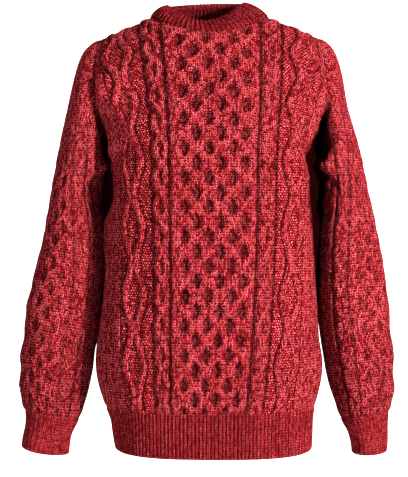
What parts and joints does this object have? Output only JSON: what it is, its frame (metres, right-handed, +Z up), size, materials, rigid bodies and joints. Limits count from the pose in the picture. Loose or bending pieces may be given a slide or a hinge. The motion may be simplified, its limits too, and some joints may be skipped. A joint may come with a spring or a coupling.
{
  "type": "aran pullover",
  "caption": "Red wool aran pullover with honeycomb, cables and diamonds, filled out as if worn, with open neck, cuffs and hem.",
  "frame": {"origin": "middle of the neck opening, level with the points where the neckband meets the shoulder tops, where the wearer's neck and shoulders hold the pullover", "axes": "+X to the right in the front view, -Y out of the front, +Z up"},
  "size_m": [0.5586, 0.2536, 0.6773],
  "materials": {
    "knit_wool": "matt heathered wool, heavy cable knit",
    "rib_wool": "matt heathered wool, ribbed"
  },
  "bodies": {
    "root": {"front_panel": "knit_wool", "back_panel": "knit_wool", "sleeve_left": "knit_wool", "sleeve_right": "knit_wool", "neckband": "rib_wool", "hem_rib_front": "rib_wool", "hem_rib_back": "rib_wool", "cuff_left": "rib_wool", "cuff_right": "rib_wool"}
  },
  "joints": []
}
